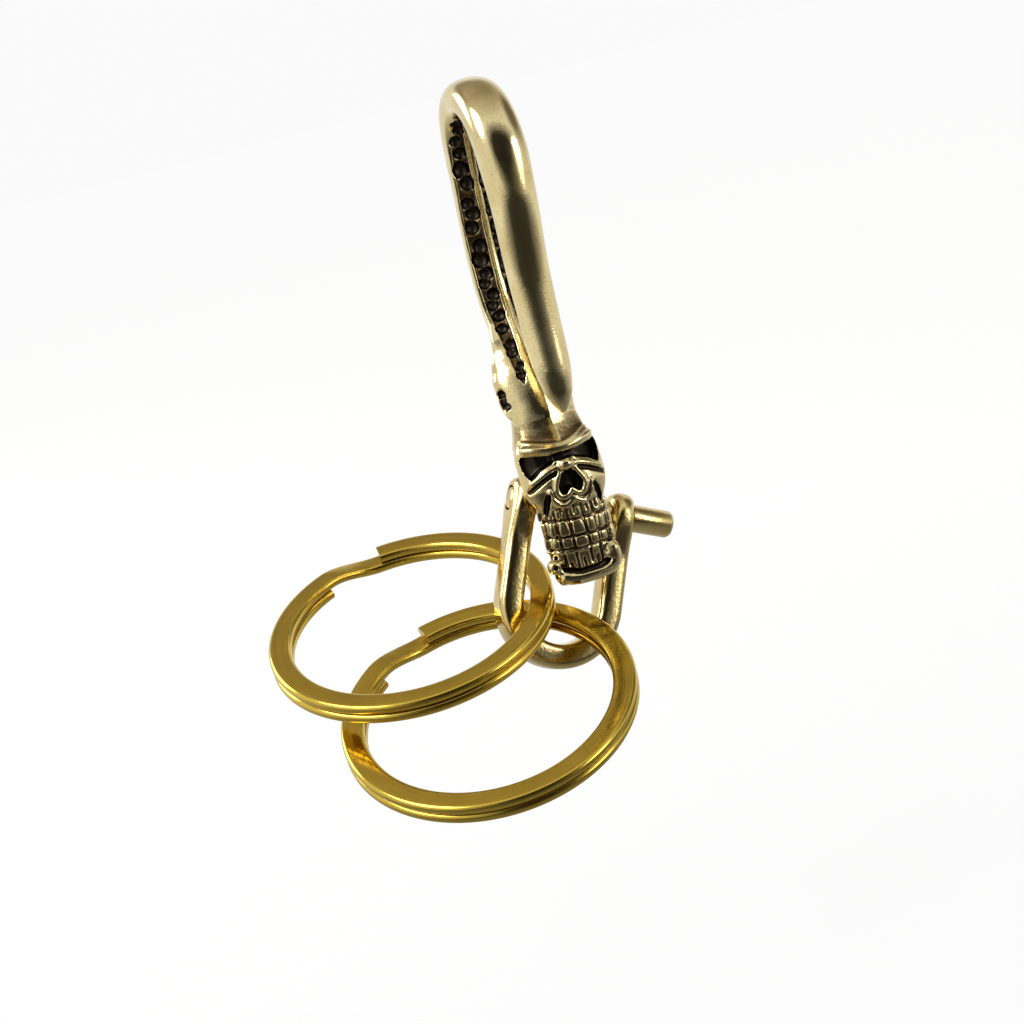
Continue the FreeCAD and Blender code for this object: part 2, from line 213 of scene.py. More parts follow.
def face_point(x, z, proud=0.0):
    """Point of the mask at x and z, raised by proud."""
    half_width, side_y, front_y, back_y = level(FACE, BROW_Z - z)
    curve = math.sqrt(max(1 - (x / half_width) ** 2, 0.0)) ** 0.9
    return Vector((x, side_y + (front_y - side_y) * curve - proud, z))


def ball(bm, centre, radii):
    """Ellipsoid."""
    place = Matrix.Translation(centre) @ Matrix.Diagonal((*radii, 1))
    bmesh.ops.create_icosphere(bm, subdivisions=3, radius=1.0, matrix=place)


def rod(bm, points, radius):
    """Rounded bar from point to point."""
    for start, end in zip(points, points[1:]):
        piece = bmesh.new()
        for centre in (start, end):
            place = Matrix.Translation(centre)
            bmesh.ops.create_icosphere(piece, subdivisions=2, radius=radius, matrix=place)
        bmesh.ops.delete(piece, geom=piece.edges[:] + piece.faces[:], context="EDGES_FACES")
        hull = bmesh.ops.convex_hull(piece, input=piece.verts[:])
        inside = [vert for vert in hull["geom_interior"] if isinstance(vert, bmesh.types.BMVert)]
        bmesh.ops.delete(piece, geom=inside, context="VERTS")
        mesh = bpy.data.meshes.new("rod")
        piece.to_mesh(mesh)
        piece.free()
        bm.from_mesh(mesh)
        bpy.data.meshes.remove(mesh)


def on_face(route, side, proud):
    """Front view route of x and z, its corners rounded, laid on one side of the mask."""
    for rounding in range(2):
        rounded = [route[0]]
        for (x, z), (next_x, next_z) in zip(route, route[1:]):
            rounded.append((x * 0.75 + next_x * 0.25, z * 0.75 + next_z * 0.25))
            rounded.append((x * 0.25 + next_x * 0.75, z * 0.25 + next_z * 0.75))
        route = rounded + [route[-1]]
    return [face_point(x * side, z, proud) for x, z in route]


BROW = [(0.0, -32.55), (1.2, -32.45), (2.6, -32.2), (3.4, -32.1)]
BROW_LIP = [(0.0, -32.3), (1.2, -32.1), (2.5, -31.75), (3.2, -31.55)]
EYE_RIM = [(0.75, -34.25), (1.75, -34.42), (3.55, -35.3)]
NOSE_RIM = [(0.85, -34.8), (1.6, -36.2), (1.3, -37.15), (0.75, -37.3), (0.0, -36.65)]
LIP = [(2.1, -36.4), (2.05, -37.3), (1.35, -38.1), (0.75, -38.1), (0.0, -37.55)]
FACE_RIMS = (  # route, how proud its middle lies, radius
    (BROW, -0.14, 0.42), (BROW_LIP, -0.16, 0.34),
    (EYE_RIM, -0.06, 0.28), (NOSE_RIM, -0.04, 0.31), (LIP, -0.06, 0.31))
NOSE_BRIDGE = (0.86, 0.74, 0.68)
for side in (-1, 1):
    for route, proud, radius in FACE_RIMS:
        rod(form, on_face(route, side, proud), radius)
ball(form, face_point(0.0, -34.15, -0.1), NOSE_BRIDGE)

dice = random.Random(7)
TOOTH_LINES = (-39.55, -41.2, -42.45)
ROW_PINCH = (0.3, -0.05)
UPPER_GUM_TOP = -38.3
UPPER_GUM_PINCH = 0.2
LOWER_GUM = -42.7
TOOTH_GAPS = (-3.35, -3.0, -2.25, -1.05, 0.45, 1.52, 2.55, 3.3)
TOOTH_RUBS = 9
TOOTH_SPREAD = 1.06


def gum_line(x, z):
    """Height of a line across the teeth, which runs a little downhill and dips in the middle."""
    return z - 0.07 * x + 0.12 * (x / 3.3) ** 2


def tooth(left, right, upper, lower, proud, pinch):
    """Pebble between two gaps and two lines, square to the mask, its top narrower by pinch."""
    x = (left + right) / 2
    turn = math.atan2(face_point(x + 0.2, lower).y - face_point(x - 0.2, lower).y, 0.4)
    middle = face_point(x, gum_line(x, (upper + lower) / 2), proud - 0.5)
    place = Matrix.Translation(middle) @ Matrix.Rotation(turn, 4, "Z")
    place = place @ Matrix.Rotation(math.radians(dice.uniform(-5, 5)), 4, "Y")
    block = bmesh.new()
    size = Matrix.Diagonal((right - left, 1.0, upper - lower, 1))
    bmesh.ops.create_cube(block, size=1.0)
    bmesh.ops.subdivide_edges(block, edges=block.edges[:], cuts=7, use_grid_fill=True)
    for rubbing in range(TOOTH_RUBS):
        bmesh.ops.smooth_vert(block, verts=block.verts, factor=0.5,
                              use_axis_x=True, use_axis_y=True, use_axis_z=True)
    bmesh.ops.scale(block, verts=block.verts, vec=(TOOTH_SPREAD, TOOTH_SPREAD, TOOTH_SPREAD))
    for vert in block.verts:
        vert.co.x *= 1 - pinch * (vert.co.z + 0.5)
    bmesh.ops.transform(block, matrix=place @ size, verts=block.verts)
    mesh = bpy.data.meshes.new("tooth")
    block.to_mesh(mesh)
    block.free()
    form.from_mesh(mesh)
    bpy.data.meshes.remove(mesh)


for left, right in zip(TOOTH_GAPS, TOOTH_GAPS[1:]):
    for upper, lower, pinch in zip(TOOTH_LINES, TOOTH_LINES[1:], ROW_PINCH):
        rough_upper = upper + dice.uniform(-0.06, 0.06)
        rough_lower = lower + dice.uniform(-0.06, 0.06)
        tooth(left, right, rough_upper, rough_lower, dice.uniform(0.24, 0.36), pinch)
    tooth(left, right, UPPER_GUM_TOP, TOOTH_LINES[0], dice.uniform(0.0, 0.1), UPPER_GUM_PINCH)
rod(form, [face_point(x, gum_line(x, LOWER_GUM), -0.08) for x in TOOTH_GAPS], 0.2)
CHIN = [
    (-2.6, -45.0), (-2.1, -45.2), (-1.4, -45.33), (-0.4, -45.38), (0.6, -45.38),
    (1.6, -45.33), (2.2, -45.15), (2.6, -44.8), (2.75, -44.3), (2.75, -43.5)]
CHIN_ROLL = 0.68
rod(form, [Vector((x, -1.8 - 0.35 * (1 - (x / 3.4) ** 2), z)) for x, z in CHIN], CHIN_ROLL)
RIGHT_JAW = ((2.6, -1.75, -44.0), (0.92, 0.78, 1.45))
LEFT_JAW = ((-3.42, -1.75, -43.7), (0.74, 0.72, 0.76))
LEFT_JAW_BAR = (Vector((-3.3, -1.75, -43.8)), Vector((-2.6, -1.95, -45.05)))
for centre, radii in (RIGHT_JAW, LEFT_JAW):
    ball(form, centre, radii)
rod(form, LEFT_JAW_BAR, 0.46)

# Eye of the same casting: a hoop behind the jaw, on a short post under the cranium.
# The shackle's pin goes through it with room to swing.
EYE = Vector((0, 2.6, -38.735))
EYE_RADIUS = 3.1
EYE_BAR = 1.0
hoop = bmesh.new()
top = EYE + Vector((0, 0, EYE_RADIUS))
quarter_turn = Matrix.Rotation(math.radians(90), 4, "X")
bmesh.ops.create_circle(hoop, segments=24, radius=EYE_BAR, matrix=Matrix.Translation(top) @ quarter_turn)
bmesh.ops.spin(hoop, geom=hoop.verts[:] + hoop.edges[:], cent=EYE, axis=(1, 0, 0), angle=math.tau, steps=64,
               use_merge=True)
bmesh.ops.remove_doubles(hoop, verts=hoop.verts, dist=0.001)
bmesh.ops.recalc_face_normals(hoop, faces=hoop.faces)
hoop_mesh = bpy.data.meshes.new("hoop")
hoop.to_mesh(hoop_mesh)
form.from_mesh(hoop_mesh)
rod(form, [top, Vector((0, 2.6, -32.0))], EYE_BAR)

# Hollows of the same casting, left black: leaf shaped panels with pits down the rear leg, then
# the eyes, nose, cheeks and the gaps of the teeth.
cuts = bmesh.new()
PANEL_TOP = -9.5
PANEL_END = 22.4
PANEL_MIDDLE = 0.51
PANEL_HALF = 0.36
PANEL_EDGE = 2.35
PANEL_DEPTH = 0.24
PIT_COUNT = 22
PIT_ZIGZAG = 0.09
KNUCKLE_PITS = (  # drop, radii
    (22.9, (0.5, 0.6, 1.35)), (22.4, (0.75, 0.75, 0.42)), (23.5, (0.75, 0.75, 0.42)))


def leaf(drop):
    """Width of a panel as a share of its widest."""
    share = min(max((drop - PANEL_TOP) / (PANEL_END - PANEL_TOP), 0.0), 1.0)
    return math.sin(math.pi * share) ** 0.4


def belt_side(drop, share, sink):
    """Point on the belt side of the rear leg, by its share of the way from keel to edge, and sunk."""
    station = rear_leg(drop) if drop > 0 else bend(-drop * 9.1)
    centre, outward, half_width, half_depth, keel, flat, round_power = station
    inner = -half_depth - keel * (1 - abs(share))
    edge = min(half_width, PANEL_EDGE + 0.1 * (half_width - PANEL_EDGE))
    return centre + outward * (inner + sink) + Vector((share * edge, 0, 0))


for side in (-1, 1):
    panel_loops = []
    for index in range(57):
        drop = PANEL_TOP + (PANEL_END - PANEL_TOP) * index / 56
        half = max(PANEL_HALF * leaf(drop), 0.01)
        near = PANEL_MIDDLE - half
        far = PANEL_MIDDLE + half
        corners = [(near, -1.0), (far, -1.0), (far, PANEL_DEPTH), (near, PANEL_DEPTH)]
        loop = bmesh.ops.create_circle(cuts, radius=1.0, segments=4)["verts"]
        for vert, (share, sink) in zip(loop, corners):
            vert.co = belt_side(drop, share * side, sink)
        panel_loops.append(loop)
    loft(cuts, panel_loops)
    for index in range(PIT_COUNT):
        row_share = 1 - (1 - (index + 0.5 + dice.uniform(-0.2, 0.2)) / PIT_COUNT) ** 1.2
        drop = PANEL_TOP + 0.8 + (PANEL_END - PANEL_TOP - 1.4) * row_share
        zigzag = PIT_ZIGZAG if index % 2 else -PIT_ZIGZAG
        share = PANEL_MIDDLE + zigzag * leaf(drop) + dice.uniform(-0.05, 0.05)
        size = (0.4 + 0.4 * leaf(drop)) * dice.uniform(0.82, 1.12)
        share = min(max(share, 0.1 + size / PANEL_EDGE), 0.93 - size / PANEL_EDGE)
        radii = (size, size * 0.85, size * dice.uniform(0.88, 1.15))
        ball(cuts, belt_side(drop, share * side, 0.12), radii)
    for drop, radii in KNUCKLE_PITS:
        centre, outward, half_width, half_depth, keel, flat, round_power = rear_leg(drop)
        ball(cuts, centre - outward * 0.55 + Vector((side * (half_width * 0.92 + 0.12), 0, 0)), radii)


def pocket(bm, corners, depth):
    """Pocket in the mask on a front view outline, as deep as depth at each corner."""
    loop = bmesh.ops.create_circle(bm, radius=1.0, segments=len(corners))["verts"]
    for vert, (x, z) in zip(loop, corners):
        vert.co = face_point(x, z, 2.0)
    face = bmesh.ops.contextual_create(bm, geom=loop)["faces"]
    made = bmesh.ops.extrude_face_region(bm, geom=face, use_keep_orig=True)["geom"]
    for vert in made:
        if isinstance(vert, bmesh.types.BMVert):
            vert.co.y = face_point(vert.co.x, vert.co.z, -depth).y


SOCKET = [
    (1.1, -33.0), (2.6, -32.78), (3.85, -32.65), (3.98, -33.4),
    (3.85, -34.4), (3.5, -35.0), (2.4, -34.22), (1.1, -33.75)]
NOSE = [(0.0, -34.85), (0.7, -34.95), (1.3, -36.2), (1.0, -36.95), (0.65, -37.0), (0.0, -36.35)]
CHEEK_GROOVE = [(1.15, -34.75), (2.2, -35.1), (3.9, -36.1)]
NOSE_GROOVE = [(1.9, -36.2), (1.75, -37.1), (1.3, -37.65), (0.75, -37.7), (0.0, -37.1)]
CHEEK_HOLLOW = [(2.15, -36.75), (2.5, -36.5), (2.9, -37.2), (3.05, -38.2), (2.85, -38.95), (2.5, -38.1)]
CHIN_GROOVE = [(-2.8, -44.35), (-1.0, -44.75), (1.0, -44.75), (2.5, -44.4)]
GUM_STROKES = (-2.6, -1.65, -0.3, 0.95, 2.0, 2.85)
TOOTH_LINE_CUT = 0.19
TOOTH_GAP_CUT = 0.18
UPPER_GUM_CUT = 0.15
LOWER_GUM_CUT = 0.2
JAW_PIT = ((-3.46, -2.45, -43.75), (0.3, 0.5, 0.3))
for side in (-1, 1):
    for corners, depth in ((SOCKET, 1.2), (NOSE, 1.2), (CHEEK_HOLLOW, 0.5)):
        pocket(cuts, [(x * side, z) for x, z in corners], depth)
    for route, proud, radius in ((CHEEK_GROOVE, -0.02, 0.26), (NOSE_GROOVE, -0.08, 0.17)):
        rod(cuts, on_face(route, side, proud), radius)
rod(cuts, [face_point(x, -33.25, -0.05) for x in (-1.2, 0.0, 1.2)], 0.36)
for z in TOOTH_LINES:
    rod(cuts, [face_point(x, gum_line(x, z), 0.14) for x in TOOTH_GAPS], TOOTH_LINE_CUT)
for x in TOOTH_GAPS[1:-1]:
    rod(cuts, [face_point(x, z, 0.02) for z in (-38.3, -39.4)], UPPER_GUM_CUT)
    rod(cuts, [face_point(x, z, 0.16) for z in (-39.6, -41.0, -42.5)], TOOTH_GAP_CUT)
    rod(cuts, [face_point(x, z, -0.02) for z in (-42.9, -44.2 + dice.uniform(-0.4, 0.2))], LOWER_GUM_CUT)
for x in GUM_STROKES:
    rod(cuts, [face_point(x, z, 0.02) for z in (-38.2, -39.0)], UPPER_GUM_CUT)
    stroke = [(x + dice.uniform(-0.15, 0.15), -43.5 + dice.uniform(-0.3, 0.2)), (x, -44.5)]
    rod(cuts, [face_point(*spot, -0.02) for spot in stroke], dice.uniform(0.14, 0.22))
rod(cuts, [face_point(x, z) for x, z in CHIN_GROOVE], 0.3)
ball(cuts, *JAW_PIT)

# Skin and finish of the same casting: the forms become one skin, the hollows are cut from it, and it is
# rubbed as tumbling does. Each point keeps how deep it lies, for the black that stays in the hollows; a
# band of the forehead beside the keel is darkened the same way, as painted shade.
VOXEL = 0.1
CUT_VOXEL = 0.08
CAST_TRIANGLES = 190000
TRUE_REACH = 0.06
HEAD_TOP = -31.0
CUT_BLACK = 2.6
DIP_BLACK = 7.0
# How much painted shade the forehead band gets, added to the hollow value.
FOREHEAD_PAINTED_SHADE = 0.3
CAST_PALE = (0.74, 0.62, 0.33, 1)
CAST_DEEP = (0.60, 0.48, 0.22, 1)
# Stain colour of the shallow hollows, also laid on the forehead band as painted shade.
CAST_STAIN_AND_SHADE = (0.20, 0.13, 0.055, 1)
CAST_BLACK = (0.034, 0.027, 0.02, 1)


def one_skin(bm, name, voxel):
    """Object whose overlapping closed forms are joined into one skin."""
    bmesh.ops.recalc_face_normals(bm, faces=bm.faces)
    mesh = bpy.data.meshes.new(name)
    bm.to_mesh(mesh)
    made = bpy.data.objects.new(name, mesh)
    bpy.context.collection.objects.link(made)
    join = made.modifiers.new("join", "REMESH")
    join.mode = "VOXEL"
    join.voxel_size = voxel
    return made


def applied(made):
    """Mesh of an object with its modifiers applied."""
    graph = bpy.context.evaluated_depsgraph_get()
    final = made.evaluated_get(graph)
    return bpy.data.meshes.new_from_object(final, preserve_all_data_layers=True, depsgraph=graph)


def numbers(mesh, name):
    """Vertex places or normals as rows."""
    rows = np.empty(len(mesh.vertices) * 3)
    mesh.vertices.foreach_get(name, rows)
    return rows.reshape(-1, 3)


true_skin = BVHTree.FromBMesh(form)
body = one_skin(form, "hook_form", VOXEL)
hollows = one_skin(cuts, "hook_hollows", CUT_VOXEL)
uncut = applied(body)
uncut_points = [vert.co for vert in uncut.vertices]
uncut_skin = BVHTree.FromPolygons(uncut_points, [face.vertices for face in uncut.polygons])
carve = body.modifiers.new("carve", "BOOLEAN")
carve.operation = "DIFFERENCE"
carve.solver = "MANIFOLD"
carve.object = hollows
again = body.modifiers.new("again", "REMESH")
again.mode = "VOXEL"
again.voxel_size = VOXEL
soft = body.modifiers.new("soft", "SMOOTH")
soft.factor = 0.5
soft.iterations = 2
carved = applied(body)
soft.iterations = 50
worn = applied(body)
dip = ((numbers(worn, "co") - numbers(carved, "co")) * numbers(carved, "normal")).sum(axis=1)
cut_depth = []
for vert in carved.vertices:
    near, normal, index, gap = uncut_skin.find_nearest(vert.co)
    cut_depth.append(gap if (vert.co - near).dot(normal) < 0 else 0.0)
    near, normal, index, gap = true_skin.find_nearest(vert.co)
    if gap < TRUE_REACH and vert.co.z > HEAD_TOP:
        vert.co = near
spots = numbers(carved, "co")
# Painted shade: a band of the forehead on either side of the keel is darkened like a hollow, though it is
# no hollow.
above_brow = spots[:, 2] + 31.9 - 0.06 * spots[:, 0] ** 2
forehead_painted_shade = np.clip(1 - np.abs(above_brow - 0.6) / 1.6, 0, 1)
forehead_painted_shade = forehead_painted_shade * (spots[:, 1] < 1.2) * (np.abs(spots[:, 0]) > 0.25)
hollow_depth_and_painted_shade = np.array(cut_depth) * CUT_BLACK + dip * DIP_BLACK + forehead_painted_shade * FOREHEAD_PAINTED_SHADE
hollow_and_painted_shade = carved.attributes.new("hollow_and_painted_shade", "FLOAT", "POINT")
hollow_and_painted_shade.data.foreach_set("value", np.clip(hollow_depth_and_painted_shade, 0.0, 1.0))
for spare in (body, hollows):
    bpy.data.objects.remove(spare)
dense = bpy.data.objects.new("dense", carved)
bpy.context.collection.objects.link(dense)
rub = dense.modifiers.new("rub", "SMOOTH")
rub.factor = 0.5
rub.iterations = 1
fewer = dense.modifiers.new("fewer", "DECIMATE")
fewer.ratio = min(CAST_TRIANGLES / (2 * len(carved.polygons)), 1.0)
cast = applied(dense)
bpy.data.objects.remove(dense)
cast.transform(MM)
cast.shade_smooth()
skull_hook = bpy.data.objects.new("skull_hook_cast", cast)
bpy.context.collection.objects.link(skull_hook)
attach(skull_hook, "hook")
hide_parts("skull_hook")

wear = bpy.data.node_groups.new("brass_wear", "ShaderNodeTree")
for name, standard in (("Blotch Scale", 300.0), ("Scratch Scale", 900.0), ("Grain Scale", 4000.0)):
    wear.interface.new_socket(name, in_out="INPUT", socket_type="NodeSocketFloat").default_value = standard
for name in ("Blotch", "Scratch", "Grain"):
    wear.interface.new_socket(name, in_out="OUTPUT", socket_type="NodeSocketFloat")
wear_in = wear.nodes.new("NodeGroupInput")
wear_out = wear.nodes.new("NodeGroupOutput")
place = wear.nodes.new("ShaderNodeTexCoord")
slant = wear.nodes.new("ShaderNodeMapping")
slant.inputs["Rotation"].default_value = (0.5, 0.7, 0.3)
slant.inputs["Scale"].default_value = (1.0, 0.06, 1.0)
wear.links.new(place.outputs["Object"], slant.inputs["Vector"])
for name, vector, detail, low, high in (
        ("Blotch", place.outputs["Object"], 5.0, 0.36, 0.68),
        ("Scratch", slant.outputs["Vector"], 2.0, 0.58, 0.72),
        ("Grain", place.outputs["Object"], 3.0, 0.25, 0.75)):
    noise = wear.nodes.new("ShaderNodeTexNoise")
    noise.inputs["Detail"].default_value = detail
    wear.links.new(vector, noise.inputs["Vector"])
    wear.links.new(wear_in.outputs[name + " Scale"], noise.inputs["Scale"])
    stretch = wear.nodes.new("ShaderNodeMapRange")
    stretch.inputs["From Min"].default_value = low
    stretch.inputs["From Max"].default_value = high
    wear.links.new(noise.outputs["Fac"], stretch.inputs["Value"])
    wear.links.new(stretch.outputs["Result"], wear_out.inputs[name])


def mixed(tree, kind, factor, first, second):
    """Output of a Mix node, each end given as a socket or a plain value."""
    node = tree.nodes.new("ShaderNodeMix")
    node.data_type = kind
    ends = [socket for socket in node.inputs if socket.enabled and socket.name in ("A", "B")]
    tree.links.new(factor, node.inputs["Factor"])
    for socket, value in zip(ends, (first, second)):
        if isinstance(value, bpy.types.NodeSocket):
            tree.links.new(value, socket)
        else:
            socket.default_value = value
    return [socket for socket in node.outputs if socket.enabled][0]


def ramped(tree, value, low, high, first=0.0, second=1.0):
    """Output of a Map Range node."""
    node = tree.nodes.new("ShaderNodeMapRange")
    node.inputs["From Min"].default_value = low
    node.inputs["From Max"].default_value = high
    node.inputs["To Min"].default_value = first
    node.inputs["To Max"].default_value = second
    tree.links.new(value, node.inputs["Value"])
    return node.outputs["Result"]


def summed(tree, first, second, share):
    """First plus a share of second."""
    node = tree.nodes.new("ShaderNodeMath")
    node.operation = "MULTIPLY_ADD"
    node.inputs[1].default_value = share
    tree.links.new(second, node.inputs[0])
    tree.links.new(first, node.inputs[2])
    return node.outputs[0]


def bumped(tree, height, strength, distance):
    """Raise the surface of a material's shader by a height."""
    bump = tree.nodes.new("ShaderNodeBump")
    bump.inputs["Strength"].default_value = strength
    bump.inputs["Distance"].default_value = distance
    tree.links.new(height, bump.inputs["Height"])
    tree.links.new(bump.outputs["Normal"], tree.nodes["Principled BSDF"].inputs["Normal"])


def brass(name, blotch_scale, scratch_scale, grain_scale):
    """Bare brass material and its wear."""
    made = bpy.data.materials.new(name)
    made.use_nodes = True
    tree = made.node_tree
    tree.nodes["Principled BSDF"].inputs["Metallic"].default_value = 1.0
    group = tree.nodes.new("ShaderNodeGroup")
    group.node_tree = wear
    group.inputs["Blotch Scale"].default_value = blotch_scale
    group.inputs["Scratch Scale"].default_value = scratch_scale
    group.inputs["Grain Scale"].default_value = grain_scale
    return made, tree, group.outputs


cast_brass, tree, worn_by = brass("cast_brass", 260.0, 1500.0, 5000.0)
shader = tree.nodes["Principled BSDF"]
# The hollow value stains and blackens the base colour: the black patina of the hollows, and the painted
# shade of the forehead band.
depth = tree.nodes.new("ShaderNodeAttribute")
depth.attribute_name = "hollow_and_painted_shade"
blotched_hollow_and_shade = summed(tree, depth.outputs["Fac"], worn_by["Grain"], 0.22)
stain_and_shade = ramped(tree, blotched_hollow_and_shade, 0.12, 0.42)
black = ramped(tree, blotched_hollow_and_shade, 0.34, 0.95)
bare = mixed(tree, "RGBA", worn_by["Blotch"], CAST_PALE, CAST_DEEP)
stained_and_shaded = mixed(tree, "RGBA", stain_and_shade, bare, CAST_STAIN_AND_SHADE)
tree.links.new(mixed(tree, "RGBA", black, stained_and_shaded, CAST_BLACK), shader.inputs["Base Color"])
polish = summed(tree, ramped(tree, worn_by["Blotch"], 0.0, 1.0, 0.10, 0.18), worn_by["Scratch"], 0.06)
tree.links.new(mixed(tree, "FLOAT", black, polish, 0.34), shader.inputs["Roughness"])
bumped(tree, summed(tree, worn_by["Grain"], worn_by["Scratch"], -0.6), 0.08, 0.00005)
cast.materials.clear()
cast.materials.append(cast_brass)

# Shackle bow: a U of rounded brass bar with two thumb shaped ears, bored for the pin.
# It hangs on the pin behind the jaw and carries both rings. Rubbed bright, with a little dull tarnish.
SHACKLE = (Matrix.Translation((0.8, 2.6, -39.5)) @ Matrix.Rotation(math.radians(26), 4, "Y")
           @ Matrix.Rotation(math.radians(-12), 4, "X"))
LEG_OFFSET = 5.15
LEG_LENGTH = 9.6
LEG_HALF_WIDTH = 1.25
LEG_HALF_DEPTH = 1.65
EAR_RADIUS = 2.3
EAR_CROWN = 1.0
PIN_HOLE = 1.25
BOW_SIDES = 40
SHARP_EDGE = math.radians(50)
SHACKLE_PALE = (0.74, 0.57, 0.25, 1)
SHACKLE_DEEP = (0.52, 0.38, 0.13, 1)
SHACKLE_DULL = (0.60, 0.46, 0.19, 1)
bow = bmesh.new()
bow_loops = []
heights = [EAR_RADIUS * math.cos(math.radians(1.5 + 88.5 * i / 30)) for i in range(31)]
heights += [-LEG_LENGTH * i / 24 for i in range(1, 25)]
for up in heights:
    crown = max((up - EAR_RADIUS + EAR_CROWN) / EAR_CROWN, 0.0)
    half_width = LEG_HALF_WIDTH * math.sqrt(1 - crown * crown)
    if up > 0:
        half_depth = math.sqrt(EAR_RADIUS ** 2 - up ** 2)
    else:
        half_depth = EAR_RADIUS + (LEG_HALF_DEPTH - EAR_RADIUS) * rise(-up / 4.5)
    loop = bmesh.ops.create_circle(bow, radius=1.0, segments=BOW_SIDES)["verts"]
    for vert in loop:
        edge = 0.75 - 0.25 * rise((0.6 - up) / 1.6)
        x = half_width * math.copysign(abs(vert.co.x) ** edge, vert.co.x)
        y = half_depth * math.copysign(abs(vert.co.y) ** edge, vert.co.y)
        vert.co = Vector((LEG_OFFSET + x, y, up))
    bow_loops.append(loop)
loft(bow, bow_loops)
last_loop = bow_loops[-1]
last_rim = list({edge for vert in last_loop for edge in vert.link_edges
                 if edge.other_vert(vert) in last_loop})
last_cap = [face for face in bow.faces if len(face.verts) == BOW_SIDES and face.verts[0].co.z < -1]
bmesh.ops.delete(bow, geom=last_cap, context="FACES_ONLY")
bmesh.ops.spin(bow, geom=list(last_loop) + last_rim, cent=(0, 0, -LEG_LENGTH), axis=(0, 1, 0),
               angle=math.radians(90), steps=24)
bmesh.ops.mirror(bow, geom=bow.verts[:] + bow.edges[:] + bow.faces[:], axis="X", merge_dist=0.001)
bmesh.ops.remove_doubles(bow, verts=bow.verts, dist=0.001)
bmesh.ops.recalc_face_normals(bow, faces=bow.faces)
bow_mesh = bpy.data.meshes.new("shackle_bow_bar")
bow.to_mesh(bow_mesh)
bow_form = bpy.data.objects.new("bow_form", bow_mesh)
bpy.context.collection.objects.link(bow_form)
drill = bmesh.new()
bmesh.ops.create_cone(drill, cap_ends=True, segments=48, radius1=PIN_HOLE, radius2=PIN_HOLE, depth=30,
                      matrix=Matrix.Rotation(math.radians(90), 4, "Y"))
drill_mesh = bpy.data.meshes.new("drill")
drill.to_mesh(drill_mesh)
drill_form = bpy.data.objects.new("drill_form", drill_mesh)
bpy.context.collection.objects.link(drill_form)
bore = bow_form.modifiers.new("bore", "BOOLEAN")
bore.object = drill_form
bore.solver = "MANIFOLD"
bow_cut = applied(bow_form)
for spare in (bow_form, drill_form):
    bpy.data.objects.remove(spare)
bow_cut.transform(MM @ SHACKLE)
bow_cut.shade_smooth()
bow_cut.set_sharp_from_angle(angle=SHARP_EDGE)
shackle_bow = bpy.data.objects.new("shackle_bow_bar", bow_cut)
bpy.context.collection.objects.link(shackle_bow)
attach(shackle_bow, "shackle")
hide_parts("shackle_bow")
shackle_brass, tree, worn_by = brass("shackle_brass", 420.0, 1200.0, 3600.0)
shader = tree.nodes["Principled BSDF"]
bare = mixed(tree, "RGBA", worn_by["Blotch"], SHACKLE_PALE, SHACKLE_DEEP)
tree.links.new(mixed(tree, "RGBA", worn_by["Grain"], bare, SHACKLE_DULL), shader.inputs["Base Color"])
polish = summed(tree, ramped(tree, worn_by["Blotch"], 0.0, 1.0, 0.08, 0.17), worn_by["Scratch"], 0.08)
tree.links.new(polish, shader.inputs["Roughness"])
bumped(tree, summed(tree, worn_by["Grain"], worn_by["Scratch"], -0.5), 0.14, 0.00006)
bow_cut.materials.clear()
bow_cut.materials.append(shackle_brass)

# Shackle pin: turned from brass rod, with a plain round head outside the right ear.
# It goes through both ears and the eye of the casting, and is of the shackle's brass.
PIN_RADIUS = 1.2
HEAD_RADIUS = 1.36
PIN_START = -6.4
HEAD_START = 6.45
HEAD_END = 10.85
turned = bmesh.new()
profile = [  # place along the pin, radius
    (PIN_START, 0), (PIN_START, PIN_RADIUS - 0.25), (PIN_START + 0.25, PIN_RADIUS),
    (HEAD_START, PIN_RADIUS), (HEAD_START, HEAD_RADIUS), (HEAD_END - 0.5, HEAD_RADIUS),
    (HEAD_END - 0.15, HEAD_RADIUS - 0.2), (HEAD_END, HEAD_RADIUS - 0.55), (HEAD_END, 0)]
points = [turned.verts.new((x, 0, r)) for x, r in profile]
edges = [turned.edges.new(pair) for pair in zip(points, points[1:])]
bmesh.ops.spin(turned, geom=points + edges, cent=(0, 0, 0), axis=(1, 0, 0),
               angle=math.tau, steps=48, use_merge=True)
bmesh.ops.remove_doubles(turned, verts=turned.verts, dist=0.001)
bmesh.ops.recalc_face_normals(turned, faces=turned.faces)
pin_mesh = bpy.data.meshes.new("shackle_pin_turned")
turned.to_mesh(pin_mesh)
pin_mesh.transform(MM @ SHACKLE)
pin_mesh.shade_smooth()
pin_mesh.set_sharp_from_angle(angle=SHARP_EDGE)
shackle_pin = bpy.data.objects.new("shackle_pin_turned", pin_mesh)
bpy.context.collection.objects.link(shackle_pin)
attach(shackle_pin, "pin")
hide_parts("shackle_pin")
pin_mesh.materials.append(shackle_brass)

